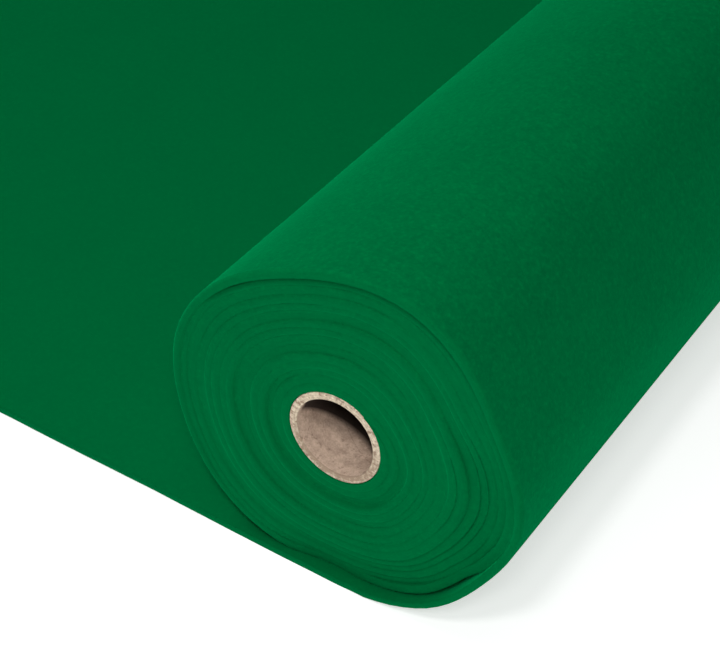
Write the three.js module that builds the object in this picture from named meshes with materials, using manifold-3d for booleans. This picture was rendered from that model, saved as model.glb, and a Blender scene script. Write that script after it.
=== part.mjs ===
// A roll of needled felt on a cardboard core, with its loose end laid out flat beside it.
// Millimetres, +Z up. The origin is on the ground under the roll's axis, half way along the roll.
// The axis runs along Y, the near end faces -Y, and the loose end lies toward -X.

import * as THREE from "three";
import { mergeVertices } from "three/addons/utils/BufferGeometryUtils.js";
import Module from "manifold-3d";

// Cloth
const clothWidth = 900;
const clothThickness = 3.3;
const looseLength = 520;

// Winding
const rollRadius = 85;
const axisHeight = 85.7;
const turnPitch = 4.17;
const turnCount = 15.4;
const lipThickness = clothThickness + 0.3;

// Core
const coreOutsideRadius = 22.5;
const coreWall = 3.5;
const coreLength = 900;
const coreCentreX = -4;
const coreCentreZ = axisHeight - 4;
const coreSetIn = 2;
const clearance = 0.3;
const coreSides = 64;

// How far the outside departs from a circle: that many lobes round the roll, in millimetres.
const outOfRound = [
  { lobes: 2, cosine: -1.0, sine: 3.8 },
  { lobes: 3, cosine: -1.5, sine: -0.7 },
  { lobes: 4, cosine: 0.0, sine: -1.25 },
  { lobes: 5, cosine: 1.15, sine: 0.3 },
  { lobes: 6, cosine: 0.95, sine: 0.0 },
];

// The roll sags toward its loose end: a bulge round one angle in degrees.
const bulge = { angle: 222, halfAngle: 55, height: 3.0 };

// The outermost turn stands out past the near end by this much, at each part of its turn.
const lipRows = [
  { turned: 0.0, proud: 2.4 },
  { turned: 0.25, proud: 2.2 },
  { turned: 0.5, proud: 3.3 },
  { turned: 0.75, proud: 1.4 },
  { turned: 1.0, proud: 0.3 },
];

// The turns wander along the core in groups. What is set in at the near end stands out at the far one.
const turnGroups = [
  { lastTurn: 3, setIn: 0.5 },
  { lastTurn: 8.2, setIn: 0.0 },
  { lastTurn: 12.6, setIn: 1.0 },
  { lastTurn: turnCount, setIn: 3.2 },
];

// The roll's weight flattens it where it rests.
const pressDepth = 0.8;
const pressReach = 25;

// The open slit at the lower right, where the outermost turn leaves the winding.
const slitWidth = 2.2;
const slitStart = -80;
const slitEnd = -27;
const slitSteps = 16;
const slitOverrun = 10;

// Fineness of the faces
const stationCount = 96;
const rowCount = 8;
const sheetRows = 12;
const lastStationAngle = 269;
const sheetOverlap = 6;

const bottomAngle = -90;

/** Fraction of one turn that the cloth has made round the roll at an angle in degrees. */
function turnedAt(angle) {
  return (angle - bottomAngle) / 360;
}

/** A value between a and b. */
function mix(a, b, amount) {
  return a + (b - a) * amount;
}

/** Height of the bulge at an angle in degrees. */
function bulgeHeight(angle) {
  const share = Math.min(Math.abs(angle - bulge.angle) / bulge.halfAngle, 1);
  return bulge.height * Math.cos((share * Math.PI) / 2) ** 2;
}

/** Departure of the outside from a circle at an angle in degrees. */
function lobeHeight(angle) {
  const radians = THREE.MathUtils.degToRad(angle);
  let height = bulgeHeight(angle);
  for (const wave of outOfRound) {
    height += wave.cosine * Math.cos(wave.lobes * radians);
    height += wave.sine * Math.sin(wave.lobes * radians);
  }
  return height;
}

/** How far the outermost turn stands out past the near end. */
function lipAt(turned) {
  const next = lipRows.findIndex((row) => row.turned >= turned);
  const upper = lipRows[Math.max(next, 1)];
  const lower = lipRows[Math.max(next, 1) - 1];
  const amount = (turned - lower.turned) / (upper.turned - lower.turned);
  return mix(lower.proud, upper.proud, THREE.MathUtils.smoothstep(amount, 0, 1));
}

/** Point across the roll, a number of millimetres inside its outermost surface. */
function outerPoint(angle, inset) {
  const radians = THREE.MathUtils.degToRad(angle);
  const turned = turnedAt(angle);
  const radius = rollRadius + lobeHeight(angle) - turnPitch * (turned - 0.5) - inset;
  const x = radius * Math.cos(radians);
  const free = axisHeight + radius * Math.sin(radians);
  const pressed = free - pressDepth * Math.exp(-((x / pressReach) ** 2));
  const support = (turned < 0.5 ? 0 : clothThickness - 0.1) + inset;
  return { x, z: Math.max(pressed, support) };
}

/** Point across the roll on the closed outline between two turns. */
function turnPoint(angle, turnsIn) {
  const radians = THREE.MathUtils.degToRad(angle);
  const depth = turnsIn / turnCount;
  const boreRadius = coreOutsideRadius + clearance;
  const radius = mix(rollRadius + lobeHeight(angle), boreRadius, depth);
  const centreX = mix(0, coreCentreX, depth);
  const centreZ = mix(axisHeight, coreCentreZ, depth);
  return { x: centreX + radius * Math.cos(radians), z: centreZ + radius * Math.sin(radians) };
}

/** The points of one end, from the outermost surface to the bore, at one angle. */
function endProfile(angle, endY) {
  const lipY = endY - lipAt(turnedAt(angle));
  const lipInside = outerPoint(angle, lipThickness);
  const profile = [{ ...outerPoint(angle, 0), y: lipY }, { ...lipInside, y: lipY }];
  let edge = lipInside;
  for (const group of turnGroups) {
    const y = endY + group.setIn;
    profile.push({ ...edge, y });
    edge = turnPoint(angle, group.lastTurn);
    profile.push({ ...edge, y });
  }
  return profile;
}

/** Points between two points, without the two. */
function rowsBetween(from, to) {
  const rows = [];
  for (let row = 1; row < rowCount; row += 1) {
    const amount = row / rowCount;
    rows.push({ x: mix(from.x, to.x, amount), y: mix(from.y, to.y, amount), z: mix(from.z, to.z, amount) });
  }
  return rows;
}

/** The closed line round the winding's cloth at one angle: outside, far end, bore, near end. */
function stationLoop(angle) {
  const near = endProfile(angle, -clothWidth / 2);
  const far = endProfile(angle, clothWidth / 2);
  const outside = rowsBetween(near[0], far[0]);
  const bore = rowsBetween(far.at(-1), near.at(-1));
  return [near[0], ...outside, ...far, ...bore, ...near.slice(1).reverse()];
}

/** The wound part of the cloth as one closed ring of faces. */
function windingGeometry() {
  const positions = [];
  const faces = [];
  const loops = [];
  for (let station = 0; station < stationCount; station += 1) {
    const angle = mix(bottomAngle, lastStationAngle, station / (stationCount - 1));
    loops.push(stationLoop(angle));
  }
  const size = loops[0].length;
  loops.flat().forEach((point) => positions.push(point.x, point.y, point.z));
  for (let station = 0; station < stationCount; station += 1) {
    const here = station * size;
    const next = ((station + 1) % stationCount) * size;
    for (let index = 0; index < size; index += 1) {
      const after = (index + 1) % size;
      faces.push(here + index, here + after, next + after);
      faces.push(here + index, next + after, next + index);
    }
  }
  const geometry = new THREE.BufferGeometry();
  geometry.setAttribute("position", new THREE.Float32BufferAttribute(positions, 3));
  geometry.setIndex(faces);
  return geometry;
}

/** The loose end, flat on the ground from the roll's bottom to its cut edge. */
function looseEndGeometry() {
  const length = looseLength + sheetOverlap;
  const geometry = new THREE.BoxGeometry(length, clothWidth, clothThickness, sheetRows, rowCount, 1);
  geometry.translate(sheetOverlap - length / 2, -lipAt(0), clothThickness / 2);
  return geometry;
}

/** The slit inside the outermost turn, open at both ends. */
function slitGeometry() {
  const outline = [];
  for (let step = 0; step <= slitSteps; step += 1) {
    outline.push(outerPoint(mix(slitStart, slitEnd, step / slitSteps), clothThickness));
  }
  for (let step = slitSteps - 1; step > 0; step -= 1) {
    const opening = slitWidth * Math.sin((Math.PI * step) / slitSteps);
    outline.push(outerPoint(mix(slitStart, slitEnd, step / slitSteps), clothThickness + opening));
  }
  const shape = new THREE.Shape(outline.map((point) => new THREE.Vector2(point.x, point.z)));
  const depth = clothWidth + 2 * slitOverrun;
  const geometry = new THREE.ExtrudeGeometry(shape, { depth, bevelEnabled: false });
  geometry.rotateX(Math.PI / 2);
  geometry.translate(0, depth / 2, 0);
  return geometry;
}

/** The cardboard tube that the cloth is wound on. */
function coreGeometry() {
  const inside = coreOutsideRadius - coreWall;
  const half = coreLength / 2;
  const profile = [
    new THREE.Vector2(inside, half),
    new THREE.Vector2(inside, -half),
    new THREE.Vector2(coreOutsideRadius, -half),
    new THREE.Vector2(coreOutsideRadius, half),
    new THREE.Vector2(inside, half),
  ];
  return new THREE.LatheGeometry(profile, coreSides);
}

const wasm = await Module();
wasm.setup();

/** A closed geometry as a solid that can be joined and cut. */
function toSolid(geometry) {
  const bare = geometry.clone();
  bare.deleteAttribute("normal");
  bare.deleteAttribute("uv");
  const merged = mergeVertices(bare);
  return new wasm.Manifold(
    new wasm.Mesh({
      numProp: 3,
      vertProperties: new Float32Array(merged.attributes.position.array),
      triVerts: new Uint32Array(merged.index.array),
    }),
  );
}

/** A joined or cut solid back as a geometry. */
function toGeometry(solid) {
  const mesh = solid.getMesh();
  const geometry = new THREE.BufferGeometry();
  geometry.setAttribute("position", new THREE.BufferAttribute(mesh.vertProperties, 3));
  geometry.setIndex(new THREE.BufferAttribute(mesh.triVerts, 1));
  geometry.computeVertexNormals();
  return geometry;
}

const feltFinish = new THREE.MeshStandardMaterial({ color: 0x006b39, roughness: 0.95, metalness: 0 });
const cardboardFinish = new THREE.MeshStandardMaterial({ color: 0xb59c84, roughness: 0.9, metalness: 0 });

/** The cloth: its winding and its loose end are one piece, with the slit cut through. */
function makeFelt() {
  const winding = toSolid(windingGeometry());
  const looseEnd = toSolid(looseEndGeometry());
  const slit = toSolid(slitGeometry());
  const felt = new THREE.Mesh(toGeometry(winding.add(looseEnd).subtract(slit)), feltFinish);
  felt.name = "felt";
  return felt;
}

/** The core, a little inside the winding's near end. */
function makeCore() {
  const core = new THREE.Mesh(coreGeometry(), cardboardFinish);
  core.name = "core";
  core.position.set(coreCentreX, coreSetIn, coreCentreZ);
  return core;
}

const feltRoll = new THREE.Group();
feltRoll.add(makeFelt(), makeCore());

export default feltRoll;
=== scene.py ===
import math

import bpy
from bpy.props import FloatProperty, FloatVectorProperty, IntProperty, PointerProperty
from bpy.types import Operator, Panel, PropertyGroup
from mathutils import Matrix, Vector
from mathutils.noise import noise as uneven_at


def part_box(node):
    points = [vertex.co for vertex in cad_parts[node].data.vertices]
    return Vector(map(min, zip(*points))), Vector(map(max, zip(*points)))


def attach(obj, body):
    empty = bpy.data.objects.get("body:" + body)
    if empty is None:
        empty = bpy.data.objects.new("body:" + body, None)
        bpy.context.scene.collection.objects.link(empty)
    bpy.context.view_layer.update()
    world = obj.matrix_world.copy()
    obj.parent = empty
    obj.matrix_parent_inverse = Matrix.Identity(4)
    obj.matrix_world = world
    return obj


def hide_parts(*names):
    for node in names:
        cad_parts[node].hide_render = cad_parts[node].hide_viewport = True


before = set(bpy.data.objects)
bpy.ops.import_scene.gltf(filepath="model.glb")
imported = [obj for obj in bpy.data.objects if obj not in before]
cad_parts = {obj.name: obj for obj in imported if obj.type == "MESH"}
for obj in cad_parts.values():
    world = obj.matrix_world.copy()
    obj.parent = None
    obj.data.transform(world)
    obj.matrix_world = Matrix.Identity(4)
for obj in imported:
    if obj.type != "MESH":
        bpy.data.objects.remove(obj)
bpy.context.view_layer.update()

bl_info = {
    "name": "Roll of felt",
    "version": (1, 0, 0),
    "blender": (4, 5, 0),
    "location": "View3D > Sidebar > Felt roll",
    "description": "A roll of needled felt on a cardboard core, with its loose end laid flat",
    "category": "Add Mesh",
}

IMAGE_WIDTH = 720
SENSOR_WIDTH = 36.0

CORE_LOW, CORE_HIGH = (Vector(corner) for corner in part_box("core"))
CORE_MIDDLE = (CORE_LOW + CORE_HIGH) / 2

BOTTOM = -90.0
FULL_TURN = 360.0

# How far the roll's outside departs from a circle, as lobes round it, in metres.
ROLL_LOBES = (
    {"lobes": 2, "cosine": -0.00100, "sine": 0.00380},
    {"lobes": 3, "cosine": -0.00150, "sine": -0.00070},
    {"lobes": 4, "cosine": 0.00000, "sine": -0.00125},
    {"lobes": 5, "cosine": 0.00115, "sine": 0.00030},
    {"lobes": 6, "cosine": 0.00095, "sine": 0.00000},
)

# The roll sags toward its loose end, as a bulge round one angle in degrees.
BULGE = {"angle": 222.0, "half_angle": 55.0, "height": 0.0030}

# The core is a little crushed by the winding.
CORE_LOBES = (
    {"lobes": 2, "cosine": -0.00045, "sine": 0.00035},
    {"lobes": 3, "cosine": -0.00020, "sine": 0.00005},
)

# How far the cloth has wandered along the core, by the turns wound from the outside in.
# A negative value stands out past the near end, a positive one is set in.
WANDER = (
    {"wound": 0.00, "shift": -0.0024},
    {"wound": 0.25, "shift": -0.0022},
    {"wound": 0.50, "shift": -0.0033},
    {"wound": 0.68, "shift": -0.0022},
    {"wound": 0.78, "shift": -0.0010},
    {"wound": 0.95, "shift": 0.0000},
    {"wound": 1.90, "shift": 0.0000},
    {"wound": 2.70, "shift": 0.0006},
    {"wound": 5.00, "shift": 0.0005},
    {"wound": 7.00, "shift": 0.0000},
    {"wound": 7.90, "shift": -0.0003},
    {"wound": 8.40, "shift": 0.0010},
    {"wound": 12.20, "shift": 0.0009},
    {"wound": 12.80, "shift": 0.0026},
    {"wound": 13.60, "shift": 0.0021},
    {"wound": 15.50, "shift": 0.0018},
)

# Gap inside the outermost turn, by its angle round the roll in degrees.
OPENINGS = (
    {"angle": -90.0, "width": 0.0000},
    {"angle": -78.0, "width": 0.0004},
    {"angle": -62.0, "width": 0.0012},
    {"angle": -48.0, "width": 0.0019},
    {"angle": -41.0, "width": 0.0020},
    {"angle": -35.0, "width": 0.0013},
    {"angle": -30.0, "width": 0.0002},
    {"angle": -25.0, "width": 0.0000},
    {"angle": -8.0, "width": 0.0000},
    {"angle": 15.0, "width": 0.0011},
    {"angle": 50.0, "width": 0.0019},
    {"angle": 90.0, "width": 0.0019},
    {"angle": 128.0, "width": 0.0015},
    {"angle": 140.0, "width": 0.0004},
    {"angle": 148.0, "width": 0.0000},
    {"angle": 270.0, "width": 0.0000},
)

# A shallow hollow in the near end, low at the right. Past a circle round x and z it deepens over its
# slope, and it comes up again between two wider circles. It fades at both sides of its facing.
HOLLOW = {
    "x": -0.008,
    "z": 0.084,
    "radius": 0.060,
    "slope": 0.020,
    "rise": 0.0812,
    "end": 0.0850,
    "facing": -40.0,
    "half_angle": 75.0,
    "fade_angle": 25.0,
}

# Parts of the outermost turn over which its lip changes. It thickens and rounds at its start. Toward its
# end it fills the room to the next turn, sinks with the hollow, and loses its rounding and its waves.
LIP = {"thickens": 0.2, "rounds": 0.08, "fills": 0.25, "sinks": 0.12, "flattens": 0.15}

# The slow waves in the turns' spacing, in radians for each turn.
SPACING_WAVES = (
    {"rate": 2.3, "phase": 1.3, "share": 0.6},
    {"rate": 5.2, "phase": 0.4, "share": 0.4},
)

# Rows across the cloth's faces, by their distance from the cut edge.
EDGE_ROWS = (0.0022, 0.0044, 0.0090, 0.0180, 0.0400, 0.0900, 0.1700, 0.2700, 0.3700)

# Rows over the thickness of a cut edge, as shares of the half thickness.
CUT_ROWS = (1.0, 0.985, 0.94, 0.82, 0.62, 0.34)

# Noise in each finish, with its scale per metre, or for a cut edge per streak. Its value at "zero_at"
# counts as 0 and at "one_at" as 1.
FELT_GRAIN = {
    "clouds": {"scale": 30.0, "detail": 2.0, "roughness": 0.5, "zero_at": 0.30, "one_at": 0.70},
    "tufts": {"scale": 330.0, "detail": 1.0, "roughness": 0.5, "zero_at": 0.30, "one_at": 0.70},
    "specks": {"scale": 640.0, "detail": 1.0, "roughness": 0.5, "zero_at": 0.48, "one_at": 0.78},
    "fibres": {"scale": 1400.0, "detail": 2.0, "roughness": 0.6, "zero_at": 0.30, "one_at": 0.70},
}
CUT_GRAIN = {"scale": 1.0, "detail": 3.0, "roughness": 0.6, "zero_at": 0.30, "one_at": 0.70}
BOARD_GRAIN = {
    "pulp": {"scale": 260.0, "detail": 4.0, "roughness": 0.65, "zero_at": 0.30, "one_at": 0.70},
    "specks": {"scale": 1100.0, "detail": 2.0, "roughness": 0.6, "zero_at": 0.25, "one_at": 0.75},
    "pits": {"scale": 420.0, "detail": 2.0, "roughness": 0.6, "zero_at": 0.40, "one_at": 0.28},
}
RIM_GRAIN = {
    "pulp": {"scale": 560.0, "detail": 3.0, "roughness": 0.65, "zero_at": 0.28, "one_at": 0.66},
    "pits": {"scale": 420.0, "detail": 2.0, "roughness": 0.6, "zero_at": 0.44, "one_at": 0.34},
}

# How much each grain lightens its finish, or darkens it, and how much it raises the felt.
FELT_SHARES = {"clouds": 0.12, "tufts": 0.24, "specks": 0.38, "fibres": 0.14}
FELT_RELIEF = {"tufts": 0.35, "fibres": 0.4}
BOARD_SHARES = {"pulp": 0.6, "specks": 0.4, "pits": -0.5}
RIM_SHARES = {"pulp": 0.8, "pits": -0.9}

# Soft square lights, in metres and watts.
LIGHTS = (
    {"name": "overhead_light", "place": (0.0, -0.4, 2.2), "size": 1.4, "power": 7.5},
    {"name": "left_light", "place": (-1.4, -0.3, 1.9), "size": 1.2, "power": 24.5},
    {"name": "front_light", "place": (0.18, -1.0, 1.15), "size": 0.15, "power": 5.2},
    {"name": "key_light", "place": (0.28, -0.88, 0.69), "size": 0.12, "power": 2.15},
)


class ClothSizes(PropertyGroup):
    """The cloth as it was cut."""

    width: FloatProperty(name="Width", description="Cloth width", default=0.9, unit="LENGTH")
    thickness: FloatProperty(
        name="Thickness", description="Thickness of the loose end", default=0.0034, unit="LENGTH"
    )
    loose_length: FloatProperty(
        name="Loose end", description="From the roll's axis to the cut end", default=0.52, unit="LENGTH"
    )
    edge_round: FloatProperty(
        name="Edge rounding", description="Mean setback of a cut edge's corners", default=0.00022,
        unit="LENGTH",
    )
    lip_round: FloatProperty(
        name="Lip rounding", description="Radius of the outermost edge", default=0.0016, unit="LENGTH"
    )
    cling: FloatProperty(
        name="Cling", description="How far the fibres of two turns join", default=0.85, subtype="FACTOR"
    )
    edge_uneven: FloatProperty(
        name="Edge unevenness", description="How much the rounding varies", default=1.6,
        subtype="FACTOR",
    )
    drift: FloatProperty(
        name="Drift", description="How unevenly the turns lie along the core", default=0.0011,
        unit="LENGTH",
    )
    wave_height: FloatProperty(
        name="Wave height", description="How unevenly the cloth lies", default=0.0007, unit="LENGTH"
    )
    wave_size: FloatProperty(
        name="Wave size", description="Length of the soft waves", default=0.11, unit="LENGTH"
    )
    edge_waver: FloatProperty(
        name="Edge waver", description="How unevenly the edge was cut", default=0.00025, unit="LENGTH"
    )
    seed: IntProperty(name="Seed", description="Seed of the unevenness", default=7)


class WindingSizes(PropertyGroup):
    """How the cloth is wound."""

    outside_radius: FloatProperty(
        name="Outside radius", description="Mean radius of the outside", default=0.085, unit="LENGTH"
    )
    axis_height: FloatProperty(
        name="Axis height", description="Height of the roll's axis", default=0.0857, unit="LENGTH"
    )
    pitch: FloatProperty(name="Pitch", description="From turn to turn", default=0.00417, unit="LENGTH")
    turns: FloatProperty(name="Turns", description="Turns on the core", default=15.417)
    gap: FloatProperty(name="Gap", description="Between two turns", default=0.00004, unit="LENGTH")
    unevenness: FloatProperty(
        name="Unevenness", description="How much the turns differ", default=0.00065, unit="LENGTH"
    )
    ramp_share: FloatProperty(
        name="Ramp", description="Part of a turn over the cloth's inner end", default=0.2,
        subtype="FACTOR",
    )
    ramp_turns: FloatProperty(
        name="Ramp turns", description="Turns over which the ramp fades", default=5.0
    )
    press_depth: FloatProperty(
        name="Press depth", description="How far its weight flattens it", default=0.0008, unit="LENGTH"
    )
    press_reach: FloatProperty(
        name="Press reach", description="Half width of the flat spot", default=0.025, unit="LENGTH"
    )
    opening_fade: FloatProperty(
        name="Opening fade", description="Turns that make room for the gap", default=6.0
    )
    hollow_depth: FloatProperty(
        name="Hollow depth", description="Shallow hollow in the end", default=0.0038, unit="LENGTH"
    )
    stations: IntProperty(name="Stations", description="Sections in each turn", default=80)


class CoreSizes(PropertyGroup):
    """The cardboard core."""

    wall: FloatProperty(name="Wall", description="Wall of the tube", default=0.0035, unit="LENGTH")
    edge_round: FloatProperty(
        name="Edge rounding", description="Rounding of the cut rims", default=0.0005, unit="LENGTH"
    )
    clearance: FloatProperty(
        name="Clearance", description="Between the core and the cloth", default=0.0003, unit="LENGTH"
    )
    sides: IntProperty(name="Sides", description="Sections round the tube", default=128)
    ply_width: FloatProperty(
        name="Ply width", description="Width of the wound paper ply", default=0.075, unit="LENGTH"
    )


class Finishes(PropertyGroup):
    """Colours of the felt and the cardboard, and the painted shadow inside the tube, as linear values."""

    felt_deep: FloatVectorProperty(
        name="Felt, deep", description="Darker fibres", subtype="COLOR", default=(0.0, 0.088, 0.0252)
    )
    felt_light: FloatVectorProperty(
        name="Felt, light", description="Lighter fibres", subtype="COLOR", default=(0.0, 0.156, 0.0395)
    )
    felt_sheen: FloatVectorProperty(
        name="Felt sheen", description="Light on the nap", subtype="COLOR", size=4,
        default=(0.0, 0.80, 0.25, 1.0),
    )
    board_deep: FloatVectorProperty(
        name="Board, deep", description="Darker paper", subtype="COLOR", default=(0.34, 0.235, 0.175)
    )
    board_light: FloatVectorProperty(
        name="Board, light", description="Lighter paper", subtype="COLOR", default=(0.74, 0.56, 0.43)
    )
    # Painted shadow: the colour of the unlit inside of the tube, not of the board itself.
    board_painted_shadow: FloatVectorProperty(
        name="Board, inside", description="Deep inside the tube", subtype="COLOR",
        default=(0.030, 0.020, 0.016),
    )
    # The darker end of the rim's grain, and the colour that the rim's low part goes toward.
    rim_deep: FloatVectorProperty(
        name="Cut rim, deep", description="Worn rim", subtype="COLOR", default=(0.36, 0.26, 0.185)
    )
    rim_light: FloatVectorProperty(
        name="Cut rim, light", description="Freshly cut board", subtype="COLOR",
        default=(0.84, 0.73, 0.55),
    )


class StageSettings(PropertyGroup):
    """The camera, floor and lights."""

    azimuth: FloatProperty(name="Azimuth", description="Camera azimuth in degrees", default=33.79)
    elevation: FloatProperty(name="Elevation", description="Camera elevation in degrees", default=40.22)
    distance: FloatProperty(
        name="Distance", description="Camera to target", default=0.6595, unit="LENGTH"
    )
    focal_pixels: FloatProperty(name="Focal length", description="In image pixels", default=1760.6)
    target: FloatVectorProperty(
        name="Target", description="Point that the camera faces", subtype="XYZ",
        default=(0.0098, -0.45, 0.1467),
    )
    floor_colour: FloatVectorProperty(
        name="Floor", description="Pale floor", subtype="COLOR", default=(0.60, 0.60, 0.60)
    )


def mix(low, high, amount):
    """A value between two."""
    return low + (high - low) * amount


def ease(amount):
    """A smooth step from 0 to 1."""
    amount = min(max(amount, 0.0), 1.0)
    return amount * amount * (3.0 - 2.0 * amount)


def lobe_height(lobes, angle):
    """Departure from a circle at an angle in degrees."""
    turned = math.radians(angle)
    return sum(
        wave["cosine"] * math.cos(wave["lobes"] * turned) + wave["sine"] * math.sin(wave["lobes"] * turned)
        for wave in lobes
    )


def bulge_height(angle):
    """Height of the bulge at an angle in degrees."""
    away = abs((angle - BULGE["angle"] + 180.0) % FULL_TURN - 180.0)
    share = min(away / BULGE["half_angle"], 1.0)
    return BULGE["height"] * math.cos(math.pi / 2 * share) ** 2


def eased(rows, key, value, place):
    """The value at a place in a table, eased from row to row."""
    for before, after in zip(rows, rows[1:]):
        if place <= after[key]:
            return mix(before[value], after[value], ease((place - before[key]) / (after[key] - before[key])))
    return rows[-1][value]


def opening_at(wound):
    """The gap inside the outermost turn, at the angle that the cloth has wound to."""
    return eased(OPENINGS, "angle", "width", BOTTOM + FULL_TURN * (wound % 1.0))


def opening_pull(winding, wound):
    """How far the turns under the outermost one are drawn in to make room for its gap."""
    if wound < 1.0:
        return 0.0
    return opening_at(wound) * max(1.0 - (wound - 1.0) / winding.opening_fade, 0.0)


def away_from_ends(winding, wound, grows_over, fades_over):
    """1 well inside the winding, and 0 on its outermost turn and at the cloth's inner end."""
    outermost = 0.9
    return ease((wound - outermost) / grows_over) * ease((winding.turns - wound) / fades_over)


def shift_at(cloth, winding, wound):
    """The cloth's shift along the core after a number of turns, with its drift."""
    drifts_per_turn = 2.2
    # The noise is 0 at whole numbers, so two of its places are kept off them.
    place = Vector((wound * drifts_per_turn, cloth.seed + 0.5, 0.3))
    inside = away_from_ends(winding, wound, grows_over=0.8, fades_over=2.5)
    drift = cloth.drift * uneven_at(place) * inside
    return eased(WANDER, "wound", "shift", wound) + drift


def hollow_at(winding, point):
    """Depth of the shallow hollow at a point of the roll's end."""
    across = point.x - HOLLOW["x"]
    up = point.z - HOLLOW["z"]
    reach = math.hypot(across, up)
    inner = ease((reach - HOLLOW["radius"]) / HOLLOW["slope"])
    outer = 1.0 - ease((reach - HOLLOW["rise"]) / (HOLLOW["end"] - HOLLOW["rise"]))
    turned = abs(math.degrees(math.atan2(up, across)) - HOLLOW["facing"])
    beside = ease((HOLLOW["half_angle"] - min(turned, FULL_TURN - turned)) / HOLLOW["fade_angle"])
    return winding.hollow_depth * inner * outer * beside


def turns_in(winding, wound):
    """Depth in turns: the inner turns step down over the cloth's inner end, the outer ones are even."""
    fraction = (wound - winding.turns) % 1.0
    stepped = ease((fraction - 1.0 + winding.ramp_share) / winding.ramp_share)
    share = ease(1.0 - (winding.turns - 1.0 - wound) / winding.ramp_turns)
    return min(wound + share * (stepped - fraction), winding.turns)


def unevenness_at(winding, wound):
    """How much a turn's surface lies out of its even place."""
    waves = sum(wave["share"] * math.sin(wave["rate"] * wound + wave["phase"]) for wave in SPACING_WAVES)
    return winding.unevenness * waves * away_from_ends(winding, wound, grows_over=1.2, fades_over=2.0)


def turn_surface(winding, core, wound):
    """Outer surface of the cloth after a number of turns, as a point across the roll."""
    angle = BOTTOM + FULL_TURN * wound
    turned = math.radians(angle)
    depth = turns_in(winding, wound) / winding.turns
    bore = (CORE_HIGH.x - CORE_LOW.x) / 2 + core.clearance
    # The outermost turn comes in by one pitch, so it starts half a pitch outside its mean radius.
    outer = winding.outside_radius + winding.pitch / 2
    radius = mix(outer, bore, depth)
    outside = lobe_height(ROLL_LOBES, angle) + bulge_height(angle)
    radius += mix(outside, lobe_height(CORE_LOBES, angle), depth)
    radius += unevenness_at(winding, wound) - opening_pull(winding, wound)
    centre_x = mix(0.0, CORE_MIDDLE.x, depth)
    centre_z = mix(winding.axis_height, CORE_MIDDLE.z, depth)
    x = centre_x + radius * math.cos(turned)
    z = centre_z + radius * math.sin(turned)
    if math.sin(turned) < 0.0:
        z -= winding.press_depth * math.exp(-((x / winding.press_reach) ** 2)) * (1.0 - depth)
    return Vector((x, 0.0, z))


def leans(cloth, winding, wound):
    """How far a turn's outer and inner corners lean along the core to meet the turns beside it."""
    parted_at = 0.0004
    own = shift_at(cloth, winding, wound)
    open_share = min(opening_at(wound) / parted_at, 1.0)
    outward = 0.0
    inward = 0.0
    if wound >= 1.0:
        outward = cloth.cling * (shift_at(cloth, winding, wound - 1.0) - own) / 2
    if wound + 1.0 < winding.turns:
        inward = cloth.cling * (shift_at(cloth, winding, wound + 1.0) - own) / 2
    if wound < 1.0:
        inward *= 1.0 - open_share
    if 1.0 <= wound < 2.0:
        outward *= 1.0 - open_share
    return outward, inward


def lip_thickness(cloth, winding, wound, room):
    """Thickness of the outermost turn, which at its end fills the room to the next one."""
    filling = ease((wound - 1.0 + LIP["fills"]) / LIP["fills"])
    filled = mix(winding.pitch, room, filling)
    return min(room, mix(cloth.thickness, filled, ease(wound / LIP["thickens"])))


def lifted(cloth, winding, wound, surface):
    """A point of the winding, no lower than the ground or the loose end that its outer turns rest on."""
    first_half_turn = 0.5
    last_on_loose_end = 1.5
    if wound < first_half_turn:
        surface.z = max(surface.z, 0.0)
    elif wound < last_on_loose_end:
        surface.z = max(surface.z, cloth.thickness + winding.gap)
    return surface


def wound_stations(cloth, winding, core):
    """Stations of the wound cloth: its place, facing, thickness, and how its edges lie."""
    stations = []
    ramp_left_off = 0.1
    inner_end = winding.turns - ramp_left_off * winding.ramp_share
    count = round(inner_end * winding.stations)
    for index in range(1, count + 1):
        wound = inner_end * index / count
        outer = turn_surface(winding, core, wound)
        inner = turn_surface(winding, core, wound + 1.0)
        facing = (outer - inner).normalized()
        thick = (outer - inner).length - winding.gap
        if wound < 1.0:
            thick = lip_thickness(cloth, winding, wound, thick)
        outer = lifted(cloth, winding, wound, outer)
        sunk = ease((wound - 1.0 + LIP["sinks"]) / LIP["sinks"])
        hollow_out = hollow_at(winding, outer) * sunk
        hollow_in = hollow_at(winding, outer - facing * thick) * sunk
        lean_out, lean_in = leans(cloth, winding, wound)
        flattening = ease((1.0 - wound) / LIP["flattens"])
        stations.append(
            {
                "place": outer - facing * (thick / 2),
                "facing": facing,
                "thick": thick,
                "shift": shift_at(cloth, winding, wound) + (hollow_out + hollow_in) / 2,
                "tilt": (hollow_out - hollow_in) / 2,
                "lean_out": lean_out,
                "lean_in": lean_in,
                "soft": cloth.lip_round * ease(wound / LIP["rounds"]) * flattening,
                "lift": 0.0,
                "swell": flattening,
            }
        )
    return stations


def loose_stations(cloth):
    """Stations of the loose end, from its cut end to the roll's bottom."""
    steps = 72
    end_rows = (0.0, 0.0003, 0.0009, 0.0018)
    end_height = 0.45
    lifts_over = 0.02
    settles_over = 0.12
    places = list(end_rows) + [cloth.loose_length * step / steps for step in range(1, steps + 1)]
    stations = []
    for along in places:
        rounding = min(along / end_rows[-1], 1.0)
        height = mix(end_height, 1.0, math.sqrt(1.0 - (1.0 - rounding) ** 2))
        stations.append(
            {
                "place": Vector((along - cloth.loose_length, 0.0, cloth.thickness / 2)),
                "facing": Vector((0.0, 0.0, -1.0)),
                "thick": cloth.thickness * height,
                "shift": WANDER[0]["shift"],
                "tilt": 0.0,
                "lean_out": 0.0,
                "lean_in": 0.0,
                "soft": 0.0,
                "lift": ease(along / lifts_over) * ease((cloth.loose_length - along) / settles_over),
                "swell": 0.0,
            }
        )
    return stations


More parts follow.
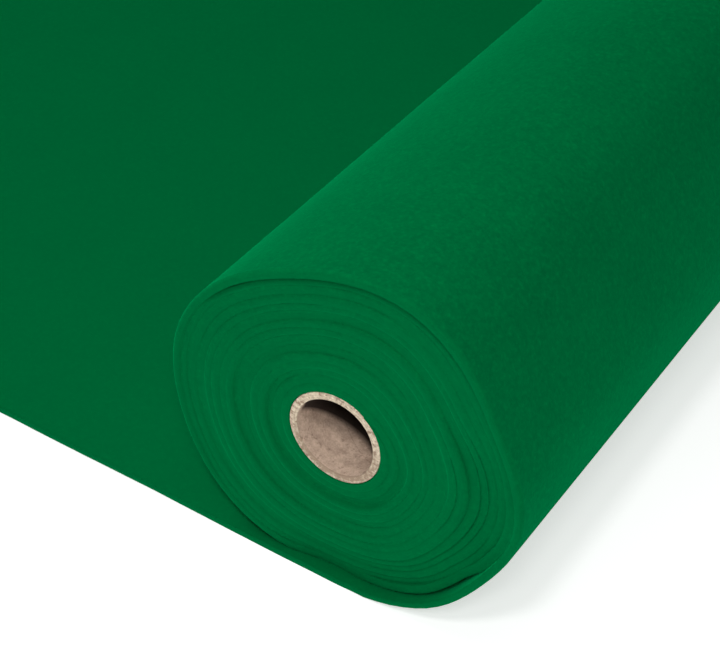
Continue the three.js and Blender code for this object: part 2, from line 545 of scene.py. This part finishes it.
def line_mesh(name, points, closed, values):
    """A mesh of edges through points, with a named attribute for each list of values."""
    mesh = bpy.data.meshes.new(name)
    edges = [(index, index + 1) for index in range(len(points) - 1)]
    if closed:
        edges.append((len(points) - 1, 0))
    mesh.from_pydata([tuple(point) for point in points], edges, [])
    for label, column in values.items():
        is_vector = isinstance(column[0], Vector)
        kind = "FLOAT_VECTOR" if is_vector else "FLOAT"
        layer = mesh.attributes.new(label, kind, "POINT")
        for item, value in zip(layer.data, column):
            if is_vector:
                item.vector = value
            else:
                item.value = value
    return mesh


def path_object(stations):
    """The line that the cloth follows."""
    values = {key: [station[key] for station in stations] for key in stations[0]}
    run = [0.0]
    for before, after in zip(stations, stations[1:]):
        run.append(run[-1] + (after["place"] - before["place"]).length)
    values["run"] = run
    mesh = line_mesh("cloth_path", values["place"], False, values)
    return bpy.data.objects.new("cloth_path", mesh), run[-1]


def section_rows(cloth):
    """The cloth's section, once round: place across it, height, and how far its corners are set back."""
    half = cloth.width / 2
    face = [{"across": half - row, "height": 1.0, "setback": 0.0, "cut": 0.0} for row in reversed(EDGE_ROWS)]
    squareness = 2.6
    upper = [{"across": half, "height": row, "setback": row**squareness, "cut": 1.0} for row in CUT_ROWS]
    right = face + upper + [{"across": half, "height": 0.0, "setback": 0.0, "cut": 1.0}]
    right += [{**row, "height": -row["height"]} for row in reversed(face + upper)]
    left = [{**row, "across": -row["across"], "height": -row["height"]} for row in right]
    middle = {"across": 0.0, "height": 1.0, "setback": 0.0, "cut": 0.0}
    return [middle] + right + [{**middle, "height": -1.0}] + left


def section_object(cloth):
    """The section as a closed line."""
    rows = section_rows(cloth)
    points = [Vector((row["across"], row["height"] * cloth.thickness / 2, 0.0)) for row in rows]
    values = {key: [row[key] for row in rows] for key in rows[0]}
    return bpy.data.objects.new("cloth_section", line_mesh("cloth_section", points, True, values))


class TreeBuilder:
    """Adds and joins nodes in one tree."""

    def __init__(self, tree):
        """Keeps the tree that the nodes go in."""
        self.tree = tree

    def add(self, kind, links=(), **settings):
        """A node with its settings, fed by (socket name or number, source or value) pairs."""
        node = self.tree.nodes.new(kind)
        for key, value in settings.items():
            setattr(node, key, value)
        for socket, source in links:
            if isinstance(source, bpy.types.NodeSocket):
                self.tree.links.new(source, node.inputs[socket])
            else:
                node.inputs[socket].default_value = source
        return node

    def math(self, operation, first, second=0.0, third=0.0):
        """The result of one operation."""
        links = ((0, first), (1, second), (2, third))
        return self.add("ShaderNodeMath", links, operation=operation).outputs[0]

    def scaled(self, vector, amount):
        """A vector times a number."""
        links = ((0, vector), ("Scale", amount))
        return self.add("ShaderNodeVectorMath", links, operation="SCALE").outputs[0]

    def summed(self, first, second):
        """Two vectors added."""
        return self.add("ShaderNodeVectorMath", ((0, first), (1, second)), operation="ADD").outputs[0]


def new_geometry_tree(name, inputs):
    """A geometry tree with named inputs, and a builder for it."""
    tree = bpy.data.node_groups.new(name, "GeometryNodeTree")
    tree.interface.new_socket("Geometry", in_out="INPUT", socket_type="NodeSocketGeometry")
    tree.interface.new_socket("Geometry", in_out="OUTPUT", socket_type="NodeSocketGeometry")
    for label, kind in inputs:
        tree.interface.new_socket(label, in_out="INPUT", socket_type=kind)
    build = TreeBuilder(tree)
    return tree, build, build.add("NodeGroupInput"), build.add("NodeGroupOutput")


def named(build, label, kind="FLOAT"):
    """A named attribute of the mesh."""
    return build.add("GeometryNodeInputNamedAttribute", (("Name", label),), data_type=kind).outputs[0]


def finish_tree(build, geometry, source, target):
    """Ends a tree in Realize Instances and Set Material."""
    real = build.add("GeometryNodeRealizeInstances", (("Geometry", geometry),)).outputs[0]
    links = (("Geometry", real), ("Material", source.outputs["Finish"]))
    painted = build.add("GeometryNodeSetMaterial", links).outputs[0]
    build.tree.links.new(painted, target.inputs["Geometry"])


def uneven_along(build, run, size, seed, detail):
    """A value from -1 to 1 that changes along the cloth over lengths of one size."""
    roughness = 0.55
    along = build.math("MULTIPLY_ADD", run, 1.0 / size, seed)
    links = (("W", along), ("Scale", 1.0), ("Detail", detail), ("Roughness", roughness))
    value = build.add("ShaderNodeTexNoise", links, noise_dimensions="1D").outputs[0]
    return build.math("MULTIPLY", build.math("SUBTRACT", value, 0.5), 2.0)


def lip_setback(build, height, half):
    """Setback of the outermost turn's outer corner, which is a round arc."""
    soft = named(build, "soft")
    below = build.math("MULTIPLY", build.math("SUBTRACT", 1.0, height), half)
    share = build.math("MAXIMUM", build.math("DIVIDE", build.math("SUBTRACT", soft, below), soft), 0.0)
    share = build.math("MULTIPLY", share, named(build, "cut"))
    root = build.math("SQRT", build.math("SUBTRACT", 1.0, build.math("MULTIPLY", share, share)))
    return build.math("MULTIPLY", soft, build.math("SUBTRACT", 1.0, root))


def cloth_tree():
    """Sweeps the cloth's section along its path, with each edge and wave in its place."""
    tree, build, source, target = new_geometry_tree(
        "wound_cloth",
        (
            ("Section", "NodeSocketObject"),
            ("Edge rounding", "NodeSocketFloat"),
            ("Edge unevenness", "NodeSocketFloat"),
            ("Wave height", "NodeSocketFloat"),
            ("Wave size", "NodeSocketFloat"),
            ("Edge waver", "NodeSocketFloat"),
            ("Seed", "NodeSocketFloat"),
            ("Finish", "NodeSocketMaterial"),
        ),
    )
    waver_size = 0.05
    rounding_size = 0.09
    rounding_seed = 40.0
    least_rounding = 0.1
    sizes = source.outputs
    path = build.add("GeometryNodeMeshToCurve", (("Mesh", sizes["Geometry"]),)).outputs[0]
    section = build.add("GeometryNodeObjectInfo", (("Object", sizes["Section"]),))
    profile = build.add("GeometryNodeMeshToCurve", (("Mesh", section.outputs["Geometry"]),)).outputs[0]
    links = (("Curve", path), ("Profile Curve", profile), ("Fill Caps", True))
    swept = build.add("GeometryNodeCurveToMesh", links).outputs[0]

    run = named(build, "run")
    across = named(build, "across")
    facing = named(build, "facing", "FLOAT_VECTOR")
    height = named(build, "height")
    side = build.math("SIGN", across)

    waves_per_metre = build.math("DIVIDE", 1.0, sizes["Wave size"])
    on_cloth = build.add("ShaderNodeCombineXYZ", ((0, run), (1, across), (2, 0.0))).outputs[0]
    links = (("Vector", on_cloth), ("W", sizes["Seed"]), ("Scale", waves_per_metre), ("Detail", 1.0))
    soft = build.add("ShaderNodeTexNoise", links, noise_dimensions="4D").outputs[0]
    wave = build.math("MULTIPLY", soft, sizes["Wave height"])
    half = build.math("MULTIPLY", named(build, "thick"), 0.5)
    out_by = build.math("MULTIPLY", height, half)
    out_by = build.math("SUBTRACT", out_by, build.math("MULTIPLY", wave, named(build, "lift")))
    outer_face = build.math("MAXIMUM", height, 0.0)
    swell = build.math("MULTIPLY", outer_face, named(build, "swell"))
    out_by = build.math("SUBTRACT", out_by, build.math("MULTIPLY", wave, swell))

    waver = uneven_along(build, run, waver_size, sizes["Seed"], detail=3.0)
    shift = named(build, "shift")
    moved_by = build.math("ADD", shift, build.math("MULTIPLY", waver, sizes["Edge waver"]))
    tilted = build.math("MULTIPLY", height, named(build, "tilt"))
    corner = named(build, "setback")
    is_outer = build.math("GREATER_THAN", height, 0.0)
    lean_in = named(build, "lean_in")
    lean_change = build.math("SUBTRACT", named(build, "lean_out"), lean_in)
    lean = build.math("MULTIPLY_ADD", is_outer, lean_change, lean_in)
    moved_by = build.math("ADD", moved_by, build.math("MULTIPLY_ADD", corner, lean, tilted))

    other_seed = build.math("ADD", sizes["Seed"], rounding_seed)
    varied = uneven_along(build, run, rounding_size, other_seed, detail=2.0)
    varied = build.math("MULTIPLY_ADD", varied, sizes["Edge unevenness"], 1.0)
    varied = build.math("MAXIMUM", varied, least_rounding)
    rounding = build.math("MULTIPLY", varied, sizes["Edge rounding"])
    setback = build.math("MULTIPLY", corner, rounding)
    setback = build.math("ADD", setback, lip_setback(build, height, half))
    edge = build.math("SUBTRACT", across, build.math("MULTIPLY", setback, side))
    sideways = build.math("ADD", edge, moved_by)
    along_core = build.add("ShaderNodeCombineXYZ", ((0, 0.0), (1, sideways), (2, 0.0))).outputs[0]

    place = build.summed(named(build, "place", "FLOAT_VECTOR"), build.scaled(facing, out_by))
    links = (("Geometry", swept), ("Position", build.summed(place, along_core)))
    moved = build.add("GeometryNodeSetPosition", links).outputs[0]
    finish_tree(build, moved, source, target)
    return tree


def applied_tree(piece, tree, values):
    """Runs a geometry tree on an object with the given inputs, and returns the plain mesh."""
    bpy.context.scene.collection.objects.link(piece)
    modifier = piece.modifiers.new(tree.name, "NODES")
    modifier.node_group = tree
    sockets = {
        item.name: item.identifier
        for item in tree.interface.items_tree
        if item.item_type == "SOCKET" and item.in_out == "INPUT"
    }
    for label, value in values.items():
        modifier[sockets[label]] = value
    graph = bpy.context.evaluated_depsgraph_get()
    mesh = bpy.data.meshes.new_from_object(piece.evaluated_get(graph), depsgraph=graph)
    piece.modifiers.remove(modifier)
    bpy.data.objects.remove(piece)
    return mesh


def finished_piece(name, mesh):
    """A piece of the model that rides on its body."""
    mesh.name = name
    piece = bpy.data.objects.new(name, mesh)
    bpy.context.scene.collection.objects.link(piece)
    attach(piece, "root")
    return piece


def surface_material(name):
    """A new material, its tree builder, its shader and its object coordinates."""
    material = bpy.data.materials.new(name)
    material.use_nodes = True
    build = TreeBuilder(material.node_tree)
    shader = material.node_tree.nodes["Principled BSDF"]
    place = build.add("ShaderNodeTexCoord").outputs["Object"]
    return material, build, shader, place


def spread(build, value, zero_at, one_at):
    """A value stretched so that two of its levels become 0 and 1."""
    links = (("Value", value), ("From Min", zero_at), ("From Max", one_at))
    return build.add("ShaderNodeMapRange", links).outputs["Result"]


def grain(build, place, row):
    """The noise of one row of a grain table at a place."""
    columns = (("Scale", "scale"), ("Detail", "detail"), ("Roughness", "roughness"))
    links = (("Vector", place), *((socket, row[column]) for socket, column in columns))
    value = build.add("ShaderNodeTexNoise", links).outputs["Fac"]
    return spread(build, value, row["zero_at"], row["one_at"])


def weighted(build, grains, shares):
    """The sum of some grains, each by its share."""
    total = 0.0
    for label, share in shares.items():
        total = build.math("MULTIPLY_ADD", grains[label], share, total)
    return total


def blended(build, amount, first, second):
    """A colour between two, of which the first is a colour or a socket."""
    first = first if isinstance(first, bpy.types.NodeSocket) else (*first, 1.0)
    links = ((0, amount), (6, first), (7, (*second, 1.0)))
    return build.add("ShaderNodeMix", links, data_type="RGBA").outputs[2]


def attribute(build, label):
    """A named attribute of the mesh, in a material."""
    return build.add("ShaderNodeAttribute", attribute_name=label).outputs["Fac"]


def raise_grain(build, shader, height, strength, distance):
    """Gives a shader fine relief."""
    bump = build.add("ShaderNodeBump", (("Height", height), ("Strength", strength), ("Distance", distance)))
    build.tree.links.new(bump.outputs[0], shader.inputs["Normal"])


def from_core_axis(build, place):
    """A place measured from the core's axis."""
    to_axis = (-CORE_MIDDLE.x, 0.0, -CORE_MIDDLE.z)
    return build.add("ShaderNodeMapping", (("Vector", place), ("Location", to_axis))).outputs[0]


def felt_material(finishes):
    """Needled felt: fine mottled fibres over softer clouds, with layered fibres in its cut edges."""
    material, build, shader, place = surface_material("felt")
    grains = {label: grain(build, place, row) for label, row in FELT_GRAIN.items()}
    height = attribute(build, "height")
    cut = attribute(build, "cut")

    streak_length = 0.009
    streaks_over_half = 2.6
    along = build.math("DIVIDE", attribute(build, "run"), streak_length)
    over = build.math("MULTIPLY", height, streaks_over_half)
    layered = build.add("ShaderNodeCombineXYZ", ((0, along), (1, over), (2, 0.0))).outputs[0]
    layers = grain(build, layered, CUT_GRAIN)

    face_shade = weighted(build, grains, FELT_SHARES)
    layer_share = 0.32
    face_share = 0.7
    under_layers = build.math("MULTIPLY", face_shade, face_share)
    cut_shade = build.math("MULTIPLY_ADD", layers, layer_share, under_layers)
    links = ((0, cut), (2, face_shade), (3, cut_shade))
    shade = build.add("ShaderNodeMix", links, data_type="FLOAT").outputs[0]

    mean_shade = 0.33
    middle_nap = 0.68
    inner_lift = 0.04
    nap = build.math("MULTIPLY_ADD", height, 1.0 - middle_nap, middle_nap)
    shade = build.math("MULTIPLY_ADD", build.math("SUBTRACT", shade, mean_shade), nap, mean_shade)
    uncut = build.math("SUBTRACT", 1.0, cut)
    inner_face = build.math("MULTIPLY", build.math("SUBTRACT", 1.0, height), uncut)
    shade = build.math("MULTIPLY_ADD", inner_face, inner_lift, shade)
    colour = blended(build, shade, finishes.felt_deep, finishes.felt_light)
    build.tree.links.new(colour, shader.inputs["Base Color"])

    layer_relief = 0.4
    relief = weighted(build, grains, FELT_RELIEF)
    relief = build.math("MULTIPLY_ADD", build.math("MULTIPLY", layers, cut), layer_relief, relief)
    raise_grain(build, shader, build.math("MULTIPLY", relief, nap), strength=0.26, distance=0.0004)
    shader.inputs["Roughness"].default_value = 0.95
    shader.inputs["Specular IOR Level"].default_value = 0.0
    shader.inputs["Sheen Weight"].default_value = 0.25
    shader.inputs["Sheen Roughness"].default_value = 0.5
    shader.inputs["Sheen Tint"].default_value = tuple(finishes.felt_sheen)
    return material


def painted_inside_shadow(build, centre, core):
    """Painted shadow inside the tube: how strongly the board is darkened. Light reaches furthest in at the
    low left, seen from the near end, and past that reach the shadow is painted in.
    """
    furthest = 0.0245
    least = 0.0045
    # The painted shadow's edge slants, as the shadow of the near rim would.
    low_left = (-0.375, 0.0, -0.927)
    darkens_from = -0.0022
    darkens_to = 0.0010
    shadow_strength = 0.97
    bore_radius = (CORE_HIGH.x - CORE_LOW.x) / 2 - core.wall
    along = build.add("ShaderNodeSeparateXYZ", ((0, centre),)).outputs[1]
    from_middle = build.math("ABSOLUTE", build.math("SUBTRACT", along, CORE_MIDDLE.y))
    from_end = build.math("SUBTRACT", (CORE_HIGH.y - CORE_LOW.y) / 2, from_middle)
    toward = build.add("ShaderNodeVectorMath", ((0, centre), (1, low_left)), operation="DOT_PRODUCT")
    reach = build.math("MULTIPLY", toward.outputs["Value"], furthest / bore_radius)
    beyond = build.math("SUBTRACT", from_end, build.math("MAXIMUM", reach, least))
    return build.math("MULTIPLY", spread(build, beyond, darkens_from, darkens_to), shadow_strength)


def board_material(finishes, core):
    """Wound paper board: pulpy fibres, the thin seam of the spiral ply, and a painted shadow deep inside the
    tube.
    """
    material, build, shader, place = surface_material("cardboard")
    centre = from_core_axis(build, place)
    parts = build.add("ShaderNodeSeparateXYZ", ((0, centre),)).outputs
    turned = build.math("DIVIDE", build.math("ARCTAN2", parts[2], parts[0]), 2.0 * math.pi)
    plies = build.math("ADD", turned, build.math("DIVIDE", parts[1], core.ply_width))
    seam_share = 0.009
    seam_depth = 0.2
    seam = build.math("LESS_THAN", build.math("FRACT", plies), seam_share)
    grains = {label: grain(build, place, row) for label, row in BOARD_GRAIN.items()}
    shade = weighted(build, grains, BOARD_SHARES)
    shade = build.math("SUBTRACT", shade, build.math("MULTIPLY", seam, seam_depth))
    colour = blended(build, shade, finishes.board_deep, finishes.board_light)
    # Painted shadow: deep inside the tube the board's colour goes toward the shadow colour.
    colour = blended(build, painted_inside_shadow(build, centre, core), colour, finishes.board_painted_shadow)
    build.tree.links.new(colour, shader.inputs["Base Color"])
    raise_grain(build, shader, shade, strength=0.35, distance=0.0003)
    shader.inputs["Roughness"].default_value = 0.88
    shader.inputs["Specular IOR Level"].default_value = 0.2
    return material


def rim_material(finishes):
    """The cut rim of the board: pulp, pits and the edges of its plies, darker toward the bottom and most at
    its low inner edge.
    """
    material, build, shader, place = surface_material("cut_board")
    centre = from_core_axis(build, place)
    links = ((0, centre), (1, (1.0, 0.0, 1.0)))
    flat = build.add("ShaderNodeVectorMath", links, operation="MULTIPLY").outputs[0]
    radius = build.add("ShaderNodeVectorMath", ((0, flat),), operation="LENGTH").outputs["Value"]
    ply_thickness = 0.0007
    ply_share = 0.2
    plies = build.math("PINGPONG", build.math("DIVIDE", radius, ply_thickness), 1.0)
    grains = {label: grain(build, place, row) for label, row in RIM_GRAIN.items()}
    shade = weighted(build, grains, RIM_SHARES)
    shade = build.math("MULTIPLY_ADD", plies, ply_share, shade)

    # The rim is darker toward the bottom, and more so near its inner edge.
    undarkened_height = 0.006
    darkest_rim_height = -0.016
    outer_radius = 0.0218
    inner_radius = 0.0202
    darker_all_over = 0.22
    more_inside = 0.42
    up = build.add("ShaderNodeSeparateXYZ", ((0, centre),)).outputs[2]
    low = spread(build, up, undarkened_height, darkest_rim_height)
    inner = spread(build, radius, outer_radius, inner_radius)
    rim_darkening = build.math("MULTIPLY_ADD", inner, more_inside, darker_all_over)
    shade = build.math("SUBTRACT", shade, build.math("MULTIPLY", low, rim_darkening))
    colour = blended(build, shade, finishes.rim_deep, finishes.rim_light)
    build.tree.links.new(colour, shader.inputs["Base Color"])
    raise_grain(build, shader, shade, strength=0.5, distance=0.0004)
    shader.inputs["Roughness"].default_value = 0.92
    shader.inputs["Specular IOR Level"].default_value = 0.15
    return material


class FELTROLL_OT_cloth(Operator):
    """Make the felt: one length of cloth, wound on the core, with its loose end laid flat"""

    bl_idname = "felt_roll.cloth"
    bl_label = "Make the felt"

    def execute(self, context):
        scene = context.scene
        cloth = scene.felt_cloth
        stations = loose_stations(cloth) + wound_stations(cloth, scene.felt_winding, scene.felt_core)
        path, length = path_object(stations)
        section = section_object(cloth)
        scene.collection.objects.link(section)
        mesh = applied_tree(
            path,
            cloth_tree(),
            {
                "Section": section,
                "Edge rounding": cloth.edge_round,
                "Edge unevenness": cloth.edge_uneven,
                "Wave height": cloth.wave_height,
                "Wave size": cloth.wave_size,
                "Edge waver": cloth.edge_waver,
                "Seed": float(cloth.seed),
                "Finish": felt_material(scene.felt_finishes),
            },
        )
        bpy.data.objects.remove(section)
        mesh.shade_smooth()
        piece = finished_piece("felt_cloth", mesh)
        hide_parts("felt")
        print(f"felt length {length:.3f} m, {len(mesh.polygons)} faces")
        return {"FINISHED"}


def rim_corner(radius, end, inward, back, rounding):
    """A rounded corner, from the tube's wall to its rim, as radius and place along the core."""
    steps = 3
    corner = []
    for step in range(steps + 1):
        turned = math.radians(90.0 * step / steps)
        across = radius + inward * rounding * (1.0 - math.cos(turned))
        along = end + back * rounding * (1.0 - math.sin(turned))
        corner.append((across, along))
    return corner


def tube_profile(core, outside, inside, rim_reach):
    """The tube's section, once round: up its outside, and back down its bore."""
    rows = 24
    rounding = core.edge_round
    low = CORE_LOW.y + rounding
    high = CORE_HIGH.y - rounding
    outer_wall = [(outside, mix(low, high, row / rows)) for row in range(1, rows)]
    bore = [(inside, mix(high, low, row / rows)) for row in range(1, rows)]
    profile = rim_corner(outside, CORE_LOW.y, -1.0, 1.0, rounding)[::-1]
    profile += [(outside, low + rim_reach)] + outer_wall + [(outside, high - rim_reach)]
    profile += rim_corner(outside, CORE_HIGH.y, -1.0, -1.0, rounding)
    profile += rim_corner(inside, CORE_HIGH.y, 1.0, -1.0, rounding)[::-1]
    profile += bore
    return profile + rim_corner(inside, CORE_LOW.y, 1.0, 1.0, rounding)


def tube_mesh(core):
    """The core as one closed ring of faces, and which of them are on its cut rims."""
    outside = (CORE_HIGH.x - CORE_LOW.x) / 2
    inside = outside - core.wall
    half_length = (CORE_HIGH.y - CORE_LOW.y) / 2
    rim_reach = 0.003
    profile = tube_profile(core, outside, inside, rim_reach)
    size = len(profile)
    points = []
    faces = []
    rims = []
    for side in range(core.sides):
        angle = FULL_TURN * side / core.sides
        turned = math.radians(angle)
        lobes = lobe_height(CORE_LOBES, angle)
        for radius, along in profile:
            x = CORE_MIDDLE.x + (radius + lobes) * math.cos(turned)
            z = CORE_MIDDLE.z + (radius + lobes) * math.sin(turned)
            points.append((x, along, z))
        here = side * size
        after = ((side + 1) % core.sides) * size
        for index in range(size):
            follow = (index + 1) % size
            faces.append((here + index, here + follow, after + follow, after + index))
            radius = (profile[index][0] + profile[follow][0]) / 2
            from_middle = abs((profile[index][1] + profile[follow][1]) / 2 - CORE_MIDDLE.y)
            beside_end = radius >= outside and from_middle > half_length - rim_reach
            rims.append(inside < radius < outside or beside_end)
    mesh = bpy.data.meshes.new("core_tube")
    mesh.from_pydata(points, [], faces)
    return mesh, rims


class FELTROLL_OT_core(Operator):
    """Make the cardboard core"""

    bl_idname = "felt_roll.core"
    bl_label = "Make the core"

    def execute(self, context):
        scene = context.scene
        mesh, rims = tube_mesh(scene.felt_core)
        mesh.materials.append(board_material(scene.felt_finishes, scene.felt_core))
        mesh.materials.append(rim_material(scene.felt_finishes))
        for face, is_rim in zip(mesh.polygons, rims):
            face.material_index = 1 if is_rim else 0
        mesh.shade_smooth()
        piece = finished_piece("core_tube", mesh)
        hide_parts("core")
        return {"FINISHED"}


def area_light(row, target):
    """A soft square light of the table, which faces a point."""
    lamp = bpy.data.lights.new(row["name"], "AREA")
    lamp.size = row["size"]
    lamp.energy = row["power"]
    holder = bpy.data.objects.new(row["name"], lamp)
    holder.location = row["place"]
    holder.rotation_euler = (Vector(row["place"]) - Vector(target)).to_track_quat("Z", "Y").to_euler()
    bpy.context.scene.collection.objects.link(holder)


class FELTROLL_OT_stage(Operator):
    """Set the camera, a pale floor and soft light"""

    bl_idname = "felt_roll.stage"
    bl_label = "Set the stage"

    def execute(self, context):
        scene = context.scene
        stage = scene.felt_stage
        self.place_camera(scene, stage)
        self.lay_floor(scene, stage)
        self.set_lights(scene)
        return {"FINISHED"}

    def place_camera(self, scene, stage):
        """Adds the camera at its angles and distance from the target."""
        azimuth = math.radians(stage.azimuth)
        elevation = math.radians(stage.elevation)
        level = math.cos(elevation)
        back = Vector((math.sin(azimuth) * level, -math.cos(azimuth) * level, math.sin(elevation)))
        lens = bpy.data.cameras.new("camera")
        lens.sensor_width = SENSOR_WIDTH
        lens.lens = stage.focal_pixels / IMAGE_WIDTH * SENSOR_WIDTH
        lens.clip_start = 0.01
        camera = bpy.data.objects.new("camera", lens)
        camera.location = Vector(stage.target) + back * stage.distance
        camera.rotation_euler = back.to_track_quat("Z", "Y").to_euler()
        scene.collection.objects.link(camera)
        scene.camera = camera

    def lay_floor(self, scene, stage):
        """Adds a wide pale floor just under the cloth."""
        half = 6.0
        below = 0.0002
        glow = 0.65
        mesh = bpy.data.meshes.new("floor")
        corners = [(-half, -half, 0.0), (half, -half, 0.0), (half, half, 0.0), (-half, half, 0.0)]
        mesh.from_pydata(corners, [], [(0, 1, 2, 3)])
        material = bpy.data.materials.new("floor")
        material.use_nodes = True
        shader = material.node_tree.nodes["Principled BSDF"]
        shader.inputs["Base Color"].default_value = (*stage.floor_colour, 1.0)
        shader.inputs["Roughness"].default_value = 0.9
        shader.inputs["Emission Color"].default_value = (1.0, 1.0, 1.0, 1.0)
        shader.inputs["Emission Strength"].default_value = glow
        mesh.materials.append(material)
        floor = bpy.data.objects.new("floor", mesh)
        floor.location.z = -below
        scene.collection.objects.link(floor)

    def set_lights(self, scene):
        """Adds a faint even light and the table's soft lights."""
        faint = 0.03
        middle = (0.0, -0.3, 0.1)
        world = bpy.data.worlds.new("soft_studio")
        world.use_nodes = True
        sky = world.node_tree.nodes["Background"]
        sky.inputs["Color"].default_value = (1.0, 1.0, 1.0, 1.0)
        sky.inputs["Strength"].default_value = faint
        scene.world = world
        scene.view_settings.view_transform = "Standard"
        for row in LIGHTS:
            area_light(row, middle)


class FELTROLL_PT_panel(Panel):
    """Sizes, colours and steps of the roll of felt"""

    bl_idname = "FELTROLL_PT_panel"
    bl_label = "Roll of felt"
    bl_space_type = "VIEW_3D"
    bl_region_type = "UI"
    bl_category = "Felt roll"

    def draw(self, context):
        layout = self.layout
        for label in SETTINGS:
            box = layout.box()
            group = getattr(context.scene, label)
            for field in group.bl_rna.properties:
                if not field.is_readonly and field.identifier != "name":
                    box.prop(group, field.identifier)
        for operator in OPERATORS:
            layout.operator(operator.bl_idname)


SETTINGS = {
    "felt_cloth": ClothSizes,
    "felt_winding": WindingSizes,
    "felt_core": CoreSizes,
    "felt_finishes": Finishes,
    "felt_stage": StageSettings,
}
OPERATORS = (FELTROLL_OT_cloth, FELTROLL_OT_core, FELTROLL_OT_stage)


def register():
    """Adds the settings, operators and panel to Blender."""
    for label, group in SETTINGS.items():
        bpy.utils.register_class(group)
        setattr(bpy.types.Scene, label, PointerProperty(type=group))
    for item in (*OPERATORS, FELTROLL_PT_panel):
        bpy.utils.register_class(item)


def unregister():
    """Takes them out again."""
    for item in (FELTROLL_PT_panel, *reversed(OPERATORS)):
        bpy.utils.unregister_class(item)
    for label, group in reversed(list(SETTINGS.items())):
        delattr(bpy.types.Scene, label)
        bpy.utils.unregister_class(group)


def main():
    """Makes the roll and its stage."""
    register()
    bpy.ops.felt_roll.cloth()
    bpy.ops.felt_roll.core()
    bpy.ops.felt_roll.stage()


if __name__ == "__main__":
    main()
